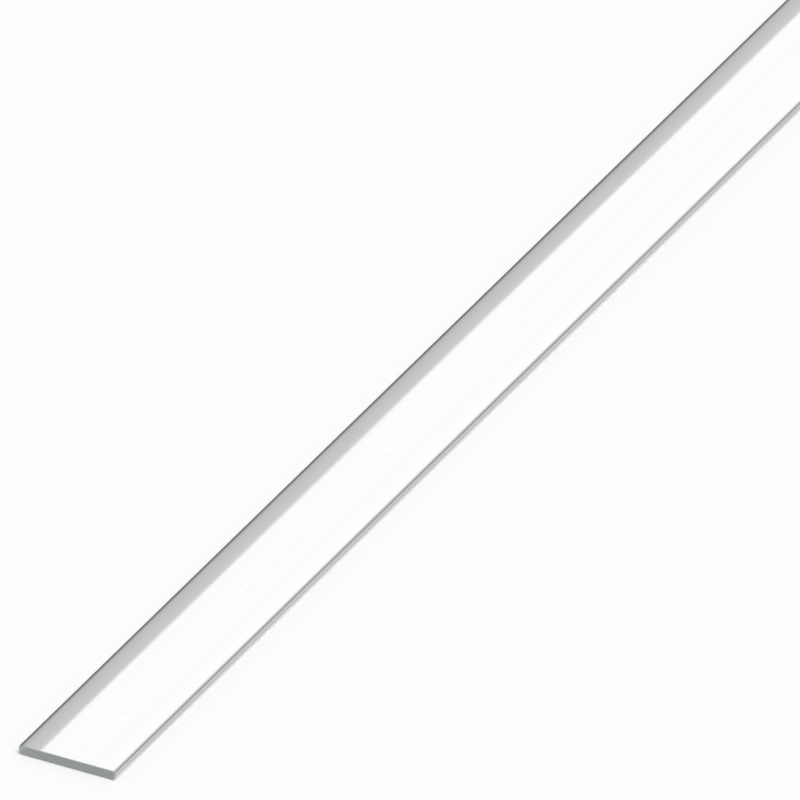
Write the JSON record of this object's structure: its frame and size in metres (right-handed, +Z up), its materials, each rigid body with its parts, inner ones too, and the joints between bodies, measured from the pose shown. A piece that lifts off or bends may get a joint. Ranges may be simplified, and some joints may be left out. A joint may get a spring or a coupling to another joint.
{
  "type": "aluminium flat bar",
  "caption": "Straight extruded aluminium flat bar with a rectangular section, small die-rounded long edges and square sawn ends; raw stock for trim, braces and frames.",
  "frame": {"origin": "middle of the underside, where the bar rests on the floor", "axes": "+X along the bar towards its far end, +Y across its width, +Z up through its thickness"},
  "size_m": [1, 0.02, 0.002],
  "materials": {
    "aluminium": "smooth bright extruded finish with fine lines along the length, and dull sawn ends"
  },
  "bodies": {
    "root": {"flat_bar": "aluminium"}
  },
  "joints": []
}
